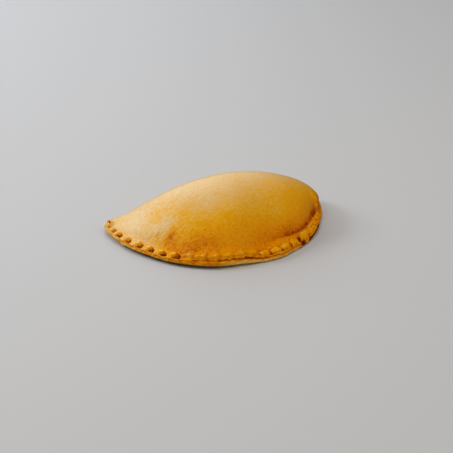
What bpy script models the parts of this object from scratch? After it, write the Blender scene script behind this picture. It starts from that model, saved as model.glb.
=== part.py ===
"""Baked turnover: a half-moon of pastry, folded along its straight side and crimped along its curved rim.

The origin is the middle of the flat underside, +Z is up, X runs from tip to tip and the crimped rim
faces -Y. Sizes are in millimetres and angles in degrees, and the finished mesh is in metres.

A UV sphere is pressed into the form. Its longitude is the place round the outline, counted from the
left tip along the rim to the right tip and back along the fold. Its latitude is the station on the
section: from the underside out to the edge, up over the edge, and in over the crimps to the dome's top.
"""

import math

import bmesh
import bpy
import numpy as np

NAME = "turnover"
MM = 0.001

# The outline, seen from above. Its arc is centred in the middle of the straight side.
RIM_RADIUS = 73.4
TIP_ROUNDING = 8.0
FOLD_AT_TIPS = 1.5
FOLD_BULGE = 2.5
FOLD_HALF_LENGTH = 68.0

# The rim: two sheets of dough, one on the other, lifted off the table
RIM_LIFT = 1.7
LOWER_SHEET = 2.4
UPPER_SHEET = 1.0
SHEET_ROUNDING = 0.7
UPPER_SETBACK = 0.4
SETBACK_AT_FRONT = 2.4
THICKENING_AT_FRONT = 0.6
CONTACT_DEPTH = 6.0
LIP_TOP = RIM_LIFT + LOWER_SHEET + UPPER_SHEET

# The filled dome
DOME_TOP = 35.6
PEAK_X = 7.0
PEAK_Y = -20.0
DOME_LEFT_END = 69.0
DOME_RIGHT_END = 71.5
LEFT_TAPER = 1.08
RIGHT_FULLNESS = 0.63
RIDGE_DEPTH = 21.0
RIDGE_DEPTH_AT_TIPS = 6.0
FOLD_BEND_HEIGHT = 9.0
FOLD_BEND_AT_TIPS = 2.8

# The crimps, pressed one after another from the left tip to the right: beads, then tongues, then lobes
FIRST_CRIMP = 2.0
LAST_CRIMP = 176.0
PITCH_AT_LEFT_TIP = 4.2
PITCH_OF_BEADS = 7.9
PITCH_OF_TONGUES = 6.6
BEAD_HEIGHT = 2.1
BEAD_DEPTH = 3.5
BEAD_HALF_LENGTH = 3.6
BEAD_HALF_WIDTH = 2.0
BEAD_CREST = 0.4
BEAD_TURN = 0.3
DENT_DEPTH = 2.0
TONGUE_HEIGHT = 1.6
LOBE_HEIGHT = 1.7
BUMP_HEIGHT = 0.7
DROOP_ALONG_BEADS = 0.8
DROOP_PAST_TEAR = 0.9

# The tear near the right tip, with the flap of rim that lies over it
TEAR_ANGLE = 124.3
TEAR_SLANT = 0.34
TEAR_DEPTH = 2.0
FLAP_HEIGHT = 1.2

# The curled knob at the left tip with its little pit, and the flake that hangs out under the rim
KNOB_PLACE = (-71.0, -4.6)
KNOB_HEIGHT = 1.1
KNOB_RADIUS = 2.0
HOLE_PLACE = (-70.8, -5.3)
HOLE_RADIUS = 1.2
HOLE_DEPTH = 1.5
FLAKE_ANGLE = 21.8

# How finely the sphere is divided
COLUMNS_PER_CRIMP = 6
TIP_COLUMNS = 8
FOLD_COLUMNS = 22
SHEET_STEPS = 4
TOP_RINGS = 8
DOME_RINGS = 9
LOOSENING = 3

CRUST_COLOUR = (0.62, 0.33, 0.075, 1.0)
CRUST_ROUGHNESS = 0.42


def smooth(low, high, value):
    """0 below low, 1 above high, and a soft step between."""
    share = np.clip((value - low) / (high - low), 0.0, 1.0)
    return share * share * (3.0 - 2.0 * share)


def hump(value, centre, width):
    """A bell of height 1."""
    return np.exp(-(((value - centre) / width) ** 2))


def between(low, high, soft, value):
    """1 between low and high, with soft ends."""
    return smooth(low - soft, low + soft, value) * (1.0 - smooth(high - soft, high + soft, value))


# ---- outline ----


def rim_radius(angle):
    """Radius of the rim at an angle from the left tip; hand-cut dough is only roughly round."""
    wander = 1.5 * hump(angle, 4, 8) - 1.1 * hump(angle, 37, 14) + 0.6 * hump(angle, 75, 9)
    wander += 0.5 * hump(angle, 130, 12) - 0.4 * hump(angle, 90, 9) - 1.0 * hump(angle, 154, 12)
    wander += 1.2 * hump(angle, 109, 7) - 1.0 * smooth(166, 178, angle)
    return RIM_RADIUS + wander


def foot_depth(angle):
    """How far inside the rim the dome starts: wide and flat at the front right, narrow at the tips."""
    inner = 5.4 + 0.7 * smooth(5, 30, angle) - 1.5 * between(60, 94, 5, angle)
    inner += 5.0 * hump(angle, 109, 13) + 1.2 * hump(angle, 109, 7) + 1.6 * hump(angle, 128, 14)
    return inner - 1.6 * smooth(138, 160, angle) - 2.8 * smooth(152, 165, angle)


def contact_depth(angle):
    """How far inside the rim the underside meets the table: the rim sags at the front right."""
    return CONTACT_DEPTH - 4.2 * smooth(66, 100, angle) * (1.0 - smooth(110, 136, angle))


def crimp_angles():
    """The crimps' places: close together at the left tip, widest after it, then even."""
    angles = [FIRST_CRIMP]
    while angles[-1] < LAST_CRIMP:
        here = angles[-1]
        pitch = PITCH_AT_LEFT_TIP + (PITCH_OF_BEADS - PITCH_AT_LEFT_TIP) * smooth(9, 15, here)
        pitch -= (PITCH_OF_BEADS - PITCH_OF_TONGUES) * smooth(34, 62, here)
        angles.append(here + pitch + 0.3 * hump(here, 84, 12) - 1.6 * hump(here, 176, 8))
    return np.array(angles)


CRIMPS = crimp_angles()


def fold_y(x):
    """The fold's outermost line, slightly bowed."""
    return FOLD_AT_TIPS + FOLD_BULGE * (1.0 - np.clip(np.abs(x) / FOLD_HALF_LENGTH, 0, 1) ** 2)


def tip_columns(side):
    """Columns round one tip, from the rim's direction to straight back. side is -1 left, 1 right."""
    turn = math.degrees(math.asin((TIP_ROUNDING - FOLD_AT_TIPS) / (RIM_RADIUS - TIP_ROUNDING)))
    rim_angle = turn if side < 0 else 180.0 - turn
    reach = rim_radius(rim_angle) - TIP_ROUNDING
    centre = np.array([side * reach * math.cos(math.radians(turn)), -reach * math.sin(math.radians(turn))])
    columns = []
    for step in range(TIP_COLUMNS + 1):
        share = step / TIP_COLUMNS
        heading = math.radians(-turn + (90.0 + turn) * share)
        outward = np.array([side * math.cos(heading), math.sin(heading)])
        angle = turn * (1.0 - share)
        angle = angle if side < 0 else 180.0 - angle
        columns.append((centre + TIP_ROUNDING * outward, outward, angle, 1.0 - smooth(0.2, 0.9, share)))
    return columns


def outline_columns():
    """Every column round the outline: its place, outward direction, rim angle and share of rim."""
    columns = []
    left_tip = tip_columns(-1)
    right_tip = tip_columns(1)
    start = left_tip[0][2]
    steps = np.arange(0.0, len(CRIMPS) - 1 + 1e-6, 1.0 / COLUMNS_PER_CRIMP)
    for angle in np.interp(steps, np.arange(len(CRIMPS)), CRIMPS):
        if start + 0.4 < angle < 179.6 - start:
            outward = np.array([-math.cos(math.radians(angle)), -math.sin(math.radians(angle))])
            columns.append((rim_radius(angle) * outward, outward, angle, 1.0))
    columns += right_tip
    right_x, left_x = right_tip[-1][0][0], left_tip[-1][0][0]
    for step in range(1, FOLD_COLUMNS):
        share = 0.5 * (step / FOLD_COLUMNS + 0.5 * (1.0 - math.cos(math.pi * step / FOLD_COLUMNS)))
        x = right_x + (left_x - right_x) * share
        slope = fold_y(x + 0.5) - fold_y(x - 0.5)
        outward = np.array([-slope, 1.0]) / math.hypot(slope, 1.0)
        columns.append((np.array([x, fold_y(x)]), outward, 180.0 * (1.0 - share), 0.0))
    columns += reversed(left_tip)
    place, outward, angle, rim_share = (np.array(item) for item in zip(*columns))
    return place, outward, angle, rim_share


# ---- dome ----


def length_profile(x):
    """Height of the filling along the turnover, 0 to 1: a long taper to the left, blunt at the right."""
    left = np.clip((PEAK_X - x) / (PEAK_X + DOME_LEFT_END), 0, 1)
    right = np.clip((x - PEAK_X) / (DOME_RIGHT_END - PEAK_X), 0, 1)
    return np.where(x < PEAK_X, (1 - left**2) ** LEFT_TAPER, (1 - right**2) ** RIGHT_FULLNESS)


def ridge_depth(x):
    """Distance from the fold in to the ridge."""
    return RIDGE_DEPTH_AT_TIPS + (RIDGE_DEPTH - RIDGE_DEPTH_AT_TIPS) * np.sqrt(length_profile(x))


def bend_height(x):
    """Height of the fold's outermost line above the table."""
    return FOLD_BEND_AT_TIPS + (FOLD_BEND_HEIGHT - FOLD_BEND_AT_TIPS) * length_profile(x) ** 0.6


def foot_y(x):
    """The line where the dome meets the crimped rim."""
    radius = np.full_like(x, RIM_RADIUS - CONTACT_DEPTH)
    for _ in range(3):
        angle = np.degrees(np.arccos(np.clip(-x / radius, -1, 1)))
        radius = rim_radius(angle) - foot_depth(angle)
    return -np.sqrt(np.maximum(radius**2 - x**2, 0.0))


def eased(rise, x):
    """Turns a dome's cut-off height into one that runs out in a fillet, tighter towards the right."""
    fillet = (2.4 - 1.2 * smooth(15, 55, x)) * np.sqrt(length_profile(x))
    return 0.5 * (rise + np.sqrt(rise**2 + fillet**2))


def front_height(x, y):
    """The side of the dome that faces the rim, with the rim's flat top outside it."""
    rise = (DOME_TOP - LIP_TOP) * length_profile(x)
    ridge = fold_y(x) - ridge_depth(x)
    gap = ridge - foot_y(x)
    width = 0.5 * (gap + np.sqrt(gap**2 + 9.0))
    across = np.maximum((ridge - y) / width, 0.0)
    fullness = 2.3 + 0.8 * smooth(10, 60, x) + 1.0 * smooth(58, 68, x)
    return LIP_TOP + eased(rise * (1.0 - across**fullness), x)


def back_height(x, depth):
    """The side that rolls over into the fold, by the depth inside the fold's outermost line."""
    rise = (DOME_TOP - LIP_TOP) * length_profile(x)
    top = LIP_TOP + eased(rise, x)
    across = np.clip(1.0 - depth / ridge_depth(x), 0, 1)
    bend = bend_height(x)
    return bend + (top - bend) * np.sqrt(1.0 - across**2)


def crust_height(x, y, depth):
    """Height of the crust over any place, by the depth inside the fold's outermost line."""
    return np.where(depth < ridge_depth(x), back_height(x, depth), front_height(x, y))


def valley(x, y):
    """A soft dip at the left, where the filling starts."""
    return -0.22 * hump(x, -39.8, 4.5) * hump(y, -45.0, 3.0)


def swelling(x, y):
    """Low, wide unevenness from the filling underneath."""
    waves = np.sin(x / 11.0 + 0.8) * np.cos(y / 9.0 - 0.4) + np.sin((x + y) / 8.0) * 0.6
    return 0.28 * waves * np.sqrt(length_profile(x))


# ---- rim relief ----


def crimp_index(angle):
    """Which crimp is nearest, and -0.5 to 0.5 across it, 0 on its crest."""
    steps = np.interp(angle, CRIMPS, np.arange(len(CRIMPS)))
    nearest = np.round(steps).astype(int)
    return nearest, steps - nearest


def beads(angle, depth):
    """Oval beads along the left of the rim: each climbs gently to the right and drops into a dent."""
    nearest, phase = crimp_index(angle)
    pitch = np.gradient(CRIMPS)[nearest] * math.radians(RIM_RADIUS)
    size = 0.60 + 0.40 * smooth(4, 24, angle)
    along = phase * pitch
    across = depth - BEAD_DEPTH * (0.55 + 0.45 * smooth(2, 12, angle))
    u = (along - BEAD_TURN * across) / (BEAD_HALF_LENGTH * size)
    v = (across + BEAD_TURN * along) / (BEAD_HALF_WIDTH * size)
    reach = np.hypot(u, v)
    skewed = np.where(u > BEAD_CREST, (u - BEAD_CREST) / (1.0 - BEAD_CREST), (u - BEAD_CREST) / 1.5)
    bead = BEAD_HEIGHT * size * np.maximum(1.0 - skewed**2 - v**2, 0.0) ** 0.95
    right_side = smooth(-0.05, 0.85, (0.9 * u - 0.3 * v) / np.maximum(reach, 0.2))
    return bead - DENT_DEPTH * size * right_side * hump(reach, 1.12, 0.26)


def tongues(angle, depth):
    """Broad tongues along the front, each highest at its lower right corner, parted by small notches."""
    _, phase = crimp_index(angle)
    grown = smooth(58, 72, angle)
    body = smooth(1.8, 3.8, depth) * (1.0 - smooth(3.8 + 0.8 * grown, 5.5 + 4.0 * grown, depth))
    low_edge = 1.0 - smooth(3.4, 6.4, depth)
    arch = 1.0 - low_edge * np.abs(2.0 * phase) ** 3.0
    lean = 0.50 + 0.50 * arch + (0.15 + 0.35 * low_edge) * phase
    notch = hump(np.abs(phase), 0.5, 0.10) * (1.0 - smooth(2.8, 4.6, depth))
    return TONGUE_HEIGHT * body * lean - 0.8 * notch


def lobes(angle, depth):
    """Oval lobes side by side across the rim at the front right."""
    _, phase = crimp_index(angle)
    lobe = np.maximum(1.0 - (phase / 0.52) ** 2 - ((depth - 3.0) / 3.0) ** 2, 0.0) ** 0.6
    groove = hump(np.abs(phase), 0.5, 0.10) * between(0.6, 3.9, 0.7, depth)
    return LOBE_HEIGHT * lobe - 0.8 * groove


def flap_bumps(angle, depth):
    """One smooth lobe right of the tear, then rough, irregular bumps."""
    foot = foot_depth(angle)
    band = smooth(0.2, 1.2, depth) * (1.0 - smooth(0.60 * foot, 0.95 * foot, depth))
    band = band * (1.0 - 0.85 * smooth(156, 168, angle))
    calm = 1.0 - 0.8 * hump(angle, 129.5, 2.8)
    lumps = np.sin(angle * 1.9) * np.sin(depth * 1.3 + angle * 0.5) + 0.6 * np.sin(angle * 1.13 + 1.0)
    return BUMP_HEIGHT * band * calm * lumps + 1.2 * hump(angle, 129.4, 2.4) * hump(depth, 4.2, 2.6)


def tear_line(angle, depth):
    """How far past the tear a place is, in degrees: the tear slants and hooks right at its inner end."""
    return angle - TEAR_ANGLE - TEAR_SLANT * depth - 1.6 * smooth(4.2, 5.0, depth)


def tear_and_flap(angle, depth):
    """A slanting tear across the rim, with the flap on its right raised over it."""
    past = tear_line(angle, depth)
    flap = FLAP_HEIGHT * smooth(-0.1, 0.5, past) * (1.0 - smooth(8, 40, past))
    flap = flap * (1.0 - smooth(5.0, 7.5, depth))
    return flap - TEAR_DEPTH * hump(past, -0.45, 0.8) * (1.0 - smooth(4.9, 6.1, depth))


def flange(angle, depth):
    """The rim climbs inwards to the dome's foot, widely at the front right and a little at the tip."""
    climb = 2.0 * smooth(0.0, 9.0, depth) * (1.0 - smooth(9.0, 17.0, depth)) * hump(angle, 113, 16)
    return climb + 0.7 * smooth(0.3, 2.0, depth) * (1.0 - smooth(2.0, 4.5, depth)) * hump(angle, 164, 6)


def crease(angle, depth):
    """The narrow groove at the dome's foot along the right, 0 to 1."""
    return hump(depth, foot_depth(angle) + 0.5, 0.9) * between(113, 162, 5, angle)


def droop(angle):
    """How far the rim's edge hangs down below its flat top: along the beads and right of the tear."""
    return DROOP_ALONG_BEADS * (1.0 - smooth(52, 64, angle)) + DROOP_PAST_TEAR * smooth(124, 128, angle)


def rim_relief(angle, depth):
    """All that the crimping leaves on top of the rim."""
    to_tongues = smooth(56, 60, angle)
    to_lobes = smooth(97, 99, angle)
    to_flap = smooth(-1.0, 1.5, tear_line(angle, depth))
    crimped = (1.0 - to_tongues) * beads(angle, depth)
    crimped = crimped + to_tongues * (1.0 - to_lobes) * tongues(angle, depth)
    crimped = crimped + to_lobes * lobes(angle, depth)
    past_tear = 0.15 * lobes(angle, depth) + flap_bumps(angle, depth)
    relief = (1.0 - to_flap) * crimped + to_flap * past_tear + tear_and_flap(angle, depth)
    hanging = droop(angle) * (1.0 - smooth(0.3, 3.0, depth))
    return relief + flange(angle, depth) - hanging - 0.5 * crease(angle, depth)


def left_tip(x, y):
    """The left tip's raised fold, with the knob and the pit where the two sheets curl together."""
    raised = 1.3 * hump(x, -67.5, 5.0) * smooth(-10.0, -3.0, y) * (1.0 - smooth(-62.0, -58.0, x))
    knob = KNOB_HEIGHT * hump(np.hypot(x - KNOB_PLACE[0], y - KNOB_PLACE[1]), 0.0, KNOB_RADIUS)
    pit = HOLE_DEPTH * hump(np.hypot(x - HOLE_PLACE[0], y - HOLE_PLACE[1]), 0.0, HOLE_RADIUS)
    return raised + knob - pit


def lift(angle):
    """How far the rim's underside stands off the table: the left tip curls up, the front right sags."""
    return RIM_LIFT + 1.3 * hump(angle, 0, 12) - 1.3 * between(95, 135, 7, angle)


# ---- section ----


def rim_wall(angle):
    """Depth and height of each station up the rim's edge: two sheets with rounded edges."""
    contact = contact_depth(angle)
    raised = lift(angle)
    phase = crimp_index(angle)[1]
    at_front = between(64, 98, 3, angle)
    scallop = hump(np.abs(phase), 0.5, 0.2)
    setback = UPPER_SETBACK + at_front * (SETBACK_AT_FRONT + 0.6 * scallop)
    lower = LOWER_SHEET + THICKENING_AT_FRONT * at_front - 0.4 * droop(angle)
    upper = LIP_TOP - RIM_LIFT - droop(angle) - lower
    flake = hump(angle, FLAKE_ANGLE, 1.7)
    stations = [(contact, 0.0 * angle), (0.45 * contact + SHEET_ROUNDING, 0.45 * raised)]
    for step in range(SHEET_STEPS + 1):
        turn = math.pi * step / SHEET_STEPS
        depth = SHEET_ROUNDING * (1.0 - math.sin(turn))
        hang = 0.5 * flake * (0.5 + 0.5 * math.cos(turn)) ** 2
        stations.append((depth - hang, raised + lower * 0.5 * (1.0 - math.cos(turn)) - hang))
    for step in range(1, SHEET_STEPS):
        turn = math.pi * step / SHEET_STEPS
        depth = setback + SHEET_ROUNDING * (1.0 - math.sin(turn))
        stations.append((depth, raised + lower + upper * 0.5 * (1.0 - math.cos(turn))))
    return stations


def fold_wall(x, rings):
    """Depth and height of each station up the fold's bend: under it and a little way over it."""
    contact = 7.5 * np.sqrt(np.clip(length_profile(x), 0.15, 1))
    bend = bend_height(x)
    stations = []
    under = rings // 2
    for ring in range(rings):
        if ring <= under:
            turn = 0.5 * math.pi * ring / under
            stations.append((contact * (1.0 - math.sin(turn)), bend * (1.0 - math.cos(turn))))
        else:
            depth = 1.4 * ((ring - under) / (rings - 1 - under)) ** 2 + 0.0 * x
            stations.append((depth, back_height(x, depth)))
    return stations


def rise_over_lip(x, y, angle, depth, behind, inner):
    """Height over the rim's top: it starts from nothing at the right tip and meets the fold further in."""
    rise = front_height(x, y) - LIP_TOP
    rise = rise * (1.0 - smooth(166, 176, angle) * (1.0 - smooth(0.2, 2.4, depth)))
    return rise + inner * np.minimum(back_height(x, behind) - LIP_TOP - rise, 0.0)


def section_rings():
    """The whole skin as rings of points, from the contact edge to just short of the dome's top."""
    place, outward, angle, rim_share = outline_columns()
    fold_share = 1.0 - rim_share
    tip_curl = lift(angle) - RIM_LIFT
    rings = []
    rim = rim_wall(angle)
    fold = fold_wall(place[:, 0], len(rim))
    for (rim_depth, rim_z), (fold_depth, fold_z) in zip(rim, fold):
        depth = rim_share * rim_depth + fold_share * fold_depth
        height = rim_share * rim_z + fold_share * fold_z
        rings.append(np.column_stack([place - outward * depth[:, None], height]))

    wall_top = depth
    on_fold = 5.0 + 4.0 * smooth(0, 24, 66 - np.abs(place[:, 0]))
    foot = rim_share * foot_depth(angle) + fold_share * on_fold
    for ring in range(1, TOP_RINGS + 1):
        depth = wall_top + (foot - wall_top) * ring / TOP_RINGS
        flat = place - outward * depth[:, None]
        x, y = flat.T
        curl = tip_curl * (1.0 - smooth(3.0, 8.0, depth))
        inner = smooth(0.0, 1.0, ring / TOP_RINGS)
        behind = np.maximum(fold_y(x) - y, 0.0)
        over_lip = rise_over_lip(x, y, angle, depth, behind, inner)
        on_rim = LIP_TOP + over_lip + rim_relief(angle, depth) + curl
        to_fold = np.where(fold_share == 1.0, behind, depth + (behind - depth) * inner)
        over_fold = crust_height(x, y, to_fold)
        height = rim_share * on_rim + fold_share * over_fold + left_tip(x, y)
        rings.append(np.column_stack([flat, height + valley(x, y)]))

    line = place - outward * foot[:, None]
    peak = np.array([PEAK_X, PEAK_Y])
    for ring in range(1, DOME_RINGS):
        share = (ring / DOME_RINGS) ** 1.3
        for _ in range(LOOSENING):
            line = 0.5 * line + 0.25 * (np.roll(line, 1, axis=0) + np.roll(line, -1, axis=0))
        flat = line + (peak - line) * share
        x, y = flat.T
        height = crust_height(x, y, fold_y(x) - y)
        around = np.degrees(np.arctan2(-y, -x))
        beyond = rim_radius(around) - np.hypot(x, y)
        height += rim_relief(around, beyond) * smooth(5, 12, -y) + left_tip(x, y)
        height = height + valley(x, y) + swelling(x, y) * smooth(0, 0.5, share)
        rings.append(np.column_stack([flat, height]))
    return rings


# ---- mesh ----


def dome_peak():
    x, y = np.array([PEAK_X]), np.array([PEAK_Y])
    return (PEAK_X, PEAK_Y, float((front_height(x, y) + swelling(x, y))[0]))


def build_turnover(collection):
    """Presses the sphere into the section rings and sets the result on its base's middle."""
    rings = section_rings()
    columns = len(rings[0])
    mesh = bpy.data.meshes.new(NAME)
    sphere = bmesh.new()
    bmesh.ops.create_uvsphere(sphere, u_segments=columns, v_segments=len(rings) + 1, radius=1.0)
    everything = np.concatenate(rings)
    middle_y = 0.5 * (everything[:, 1].min() + everything[:, 1].max())
    middle_x = 0.5 * (everything[:, 0].min() + everything[:, 0].max())
    for vert in sphere.verts:
        latitude = math.acos(max(-1.0, min(1.0, vert.co.z))) / math.pi
        band = round(latitude * (len(rings) + 1))
        column = round(math.atan2(vert.co.y, vert.co.x) / (2.0 * math.pi) * columns) % columns
        if band == 0:
            x, y, z = dome_peak()
        elif band == len(rings) + 1:
            x, y, z = PEAK_X, PEAK_Y, 0.0
        else:
            x, y, z = rings[len(rings) - band][column]
        vert.co = ((x - middle_x) * MM, (y - middle_y) * MM, z * MM)
    sphere.to_mesh(mesh)
    sphere.free()
    mesh.shade_smooth()
    mesh.materials.append(crust_material())
    turnover = bpy.data.objects.new(NAME, mesh)
    collection.objects.link(turnover)
    return turnover


def crust_material():
    """Golden brown crust with the soft gloss of an egg wash."""
    material = bpy.data.materials.new("crust")
    material.use_nodes = True
    shader = material.node_tree.nodes["Principled BSDF"]
    shader.inputs["Base Color"].default_value = CRUST_COLOUR
    shader.inputs["Roughness"].default_value = CRUST_ROUGHNESS
    shader.inputs["Metallic"].default_value = 0.0
    return material


def main():
    for item in list(bpy.data.objects):
        bpy.data.objects.remove(item, do_unlink=True)
    collection = bpy.data.collections.new("baked_turnover")
    bpy.context.scene.collection.children.link(collection)
    build_turnover(collection)


main()
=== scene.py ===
"""Looks of the baked turnover: its crust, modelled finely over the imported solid, with light and camera.

The crust is one closed skin. It is a grid of columns, which run round the outline, and rings, which run
from the underside out over the crimped rim and up to the top of the dome. Sizes are in millimetres in
the outline's own frame, whose origin is the centre of the rim's arc, and angles are in degrees, counted
from the left tip along the rim. The finished mesh is moved to the frame's origin and scaled to metres.
"""

import math

import bpy
import numpy as np
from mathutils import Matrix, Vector


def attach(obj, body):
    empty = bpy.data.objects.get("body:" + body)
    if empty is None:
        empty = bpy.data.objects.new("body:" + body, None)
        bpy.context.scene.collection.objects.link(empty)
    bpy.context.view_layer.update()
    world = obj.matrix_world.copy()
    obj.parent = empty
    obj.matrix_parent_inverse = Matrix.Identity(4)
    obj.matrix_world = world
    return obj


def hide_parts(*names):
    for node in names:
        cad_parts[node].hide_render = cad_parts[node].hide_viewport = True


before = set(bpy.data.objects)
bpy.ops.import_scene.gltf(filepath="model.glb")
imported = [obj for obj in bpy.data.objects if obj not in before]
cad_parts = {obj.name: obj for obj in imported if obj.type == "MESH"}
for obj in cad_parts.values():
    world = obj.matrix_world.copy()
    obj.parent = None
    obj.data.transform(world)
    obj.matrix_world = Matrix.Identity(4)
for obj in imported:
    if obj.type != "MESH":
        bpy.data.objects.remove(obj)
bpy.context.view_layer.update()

NODE = "turnover"
MM = 0.001
# each noise adds its own number to this
SEED = 11

# ---- the photograph's camera ----
CAMERA_AZIMUTH = -16.0
CAMERA_ELEVATION = 27.5
CAMERA_DISTANCE = 839.0
CAMERA_LENS = 100.0
CAMERA_NEAREST = 0.01
AIM_RIGHT = 9.27
AIM_UP = -10.34
AIM_HEIGHT = 2.0

# ---- outline, as in the solid ----
RIM_RADIUS = 73.4
TIP_ROUNDING = 8.0
FOLD_AT_TIPS = 1.5
FOLD_BULGE = 2.5
FOLD_HALF_LENGTH = 68.0
# the rim angle where the rim is widest
FRONT_RIGHT = 109

# ---- rim section, as in the solid ----
RIM_LIFT = 1.7
LEFT_TIP_CURL = 1.3
FRONT_RIGHT_SAG = 1.3
LOWER_SHEET = 2.4
UPPER_SHEET = 1.0
SHEET_ROUNDING = 0.7
CONTACT_DEPTH = 6.0
CONTACT_GAIN_AT_SAG = 4.2
FOOT_DEPTH = 5.4
LIP_TOP = RIM_LIFT + LOWER_SHEET + UPPER_SHEET

# ---- the cut edge ----
UPPER_SETBACK = 0.40
FRONT_SETBACK = 2.3
EDGE_INSET = 0.15
EDGE_DROOP = 0.8
FLAP_DROOP = 0.9
FLAKE_ANGLE = 21.8
FLAKE_HALF_WIDTH = 1.7

# ---- dome, as in the solid ----
DOME_TOP = 35.6
PEAK_X = 7.0
PEAK_Y = -20.0
DOME_LEFT_END = 69.0
DOME_RIGHT_END = 71.5
LEFT_TAPER = 1.08
RIGHT_FULLNESS = 0.63
RIDGE_DEPTH = 21.0
RIDGE_DEPTH_AT_TIPS = 6.0
FLANK_FULLNESS = 2.3
LEAST_FLANK = 3.0
FILLET = 2.4
FILLET_AT_RIGHT = 1.2
FOLD_BEND_HEIGHT = 9.0
FOLD_BEND_AT_TIPS = 2.8
FOLD_CONTACT = 7.5
FOLD_OVERLAP = 1.4

# ---- skin ----
SWELLING = 0.28
VALLEY_DEPTH = 0.22
VALLEY_LINE = ((-34.5, -43.4), (-45.0, -46.4))
VALLEY_WIDTH = 2.4
BRUSH_RELIEF = 0.035
BLISTER_RELIEF = 0.10
CREASE_RELIEF = 0.5
CREASE_RIDGE_RELIEF = 0.3
# little creases above the crimps at the left: from, to, width and strength
CREASE_LINES = (
    ((-44.9, -38.4), (-49.2, -39.8), 0.5, 1.0),
    ((-45.4, -40.6), (-48.9, -41.8), 0.35, 0.4),
)
# puckers beside them: place, size and strength
PUCKERS = (
    ((-50.9, -37.0), 0.7, 0.7),
    ((-50.2, -38.1), 0.6, 0.7),
    ((-52.6, -37.1), 0.7, 0.7),
)

# ---- crimps: their spacing as in the solid, their form finer ----
FIRST_CRIMP = 2.0
LAST_CRIMP = 176.0
PITCH_AT_LEFT_TIP = 4.2
PITCH_OF_BEADS = 7.9
PITCH_OF_TONGUES = 6.6
WIDER_AT_FRONT = 0.3
CLOSER_AT_RIGHT_TIP = 1.6
# rim angles where one kind of crimp turns into the next; the last pair counts from the tear
BEADS_TO_TONGUES = (56, 60)
TONGUES_TO_LOBES = (97, 99)
LOBES_TO_FLAP = (-1.0, 1.5)
BEAD_HEIGHT = 2.1
BEAD_DEPTH = 3.5
BEAD_HALF_LENGTH = 3.6
BEAD_HALF_WIDTH = 2.0
BEAD_CREST = 0.4
BEAD_TURN = 0.3
DENT_DEPTH = 2.0
TONGUE_HEIGHT = 1.6
TONGUE_CORNER_HEIGHT = 1.2
TONGUE_CORNER_PHASE = 0.27
TONGUE_CORNER_WIDTH = 0.13
NOTCH_DEPTH = 0.9
LOBE_HEIGHT = 1.7
TEAR_ANGLE = 124.3
TEAR_SLANT = 0.34
TEAR_HOOK = 1.6
TEAR_JAG = 0.35
TEAR_DEPTH = 2.4
TEAR_HALF_WIDTH = 0.46
FLAP_HEIGHT = 1.2
FLAP_LUMPS = 0.9
FLAP_PITS = 0.8
FLANGE_CLIMB = 2.0
FOOT_GROOVE_DEPTH = 0.5
TIP_FOLD_HEIGHT = 1.3
KNOB_PLACE = (-71.0, -4.6)
KNOB_RADIUS = 2.0
KNOB_HEIGHT = 1.1
HOLE_PLACE = (-70.8, -5.3)
HOLE_RADIUS = 0.8
HOLE_DEPTH = 1.8

# ---- how finely the skin is divided ----
COLUMNS_PER_CRIMP = 24
TIP_COLUMNS = 26
FOLD_COLUMNS = 120
BASE_RINGS = 6
UNDER_RINGS = 8
SHEET_RINGS = 12
TOP_RINGS = 34
DOME_RINGS = 40
# how many times the line of points is smoothed before each ring of the dome
LOOSENING = 11
SEAM_RING = UNDER_RINGS + SHEET_RINGS + 1.0

# ---- how the mesh tells its parts apart: the underside, 0 to 1 up the outer wall, and the top ----
UNDERSIDE = -1.0
ON_TOP = 2.0
WALL_ENDS = 1.5
# up to here the wall still faces the table
STILL_BENEATH = 0.12


def smooth(low, high, value):
    """0 below low, 1 above high, and a soft step between."""
    share = np.clip((value - low) / (high - low), 0.0, 1.0)
    return share * share * (3.0 - 2.0 * share)


def hump(value, centre, width):
    """A bell of height 1."""
    return np.exp(-(((value - centre) / width) ** 2))


def between(low, high, soft, value):
    """1 between low and high, with soft ends."""
    return smooth(low - soft, low + soft, value) * (1.0 - smooth(high - soft, high + soft, value))


def spot(x, y, place, size):
    """A round bell of height 1 at a place in the plan."""
    return hump(np.hypot(x - place[0], y - place[1]), 0.0, size)


def streak(x, y, start, end, width):
    """1 along a straight line from start to end in the plan, fading over width and at the ends."""
    ax, ay = start
    dx, dy = end[0] - ax, end[1] - ay
    length = math.hypot(dx, dy)
    along = ((x - ax) * dx + (y - ay) * dy) / length
    aside = ((x - ax) * dy - (y - ay) * dx) / length
    ends = smooth(0.0, 0.25 * length, along) * (1.0 - smooth(0.75 * length, length, along))
    return np.exp(-((aside / width) ** 2)) * ends


# ---- repeatable noise ----


def lattice_noise(x, y, size, seed):
    """Smooth noise in about -1 to 1 over the plan, with lumps of the given size."""
    u = x / size + 1000.0
    v = y / size + 1000.0
    column = np.floor(u).astype(np.int64)
    row = np.floor(v).astype(np.int64)
    fu = u - column
    fv = v - row
    fu = fu * fu * (3.0 - 2.0 * fu)
    fv = fv * fv * (3.0 - 2.0 * fv)

    def corner(i, j):
        """A fixed number from -1 to 1 for each corner of the lattice."""
        mixed = (i * 374761393 + j * 668265263 + seed * 974634777) & 0x7FFFFFFF
        mixed = ((mixed ^ (mixed >> 13)) * 1274126177) & 0x7FFFFFFF
        return ((mixed ^ (mixed >> 16)) & 0xFFFF) / 32767.5 - 1.0

    low = corner(column, row) * (1.0 - fu) + corner(column + 1, row) * fu
    high = corner(column, row + 1) * (1.0 - fu) + corner(column + 1, row + 1) * fu
    return low * (1.0 - fv) + high * fv


def rough_noise(x, y, size, seed, octaves=3):
    """Several sizes of lattice noise on top of each other."""
    total = 0.0
    for octave in range(octaves):
        total = total + lattice_noise(x, y, size / 2.0**octave, seed + octave) / 2.0**octave
    return total / (2.0 - 2.0 ** (1 - octaves))


# ---- outline ----


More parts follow.
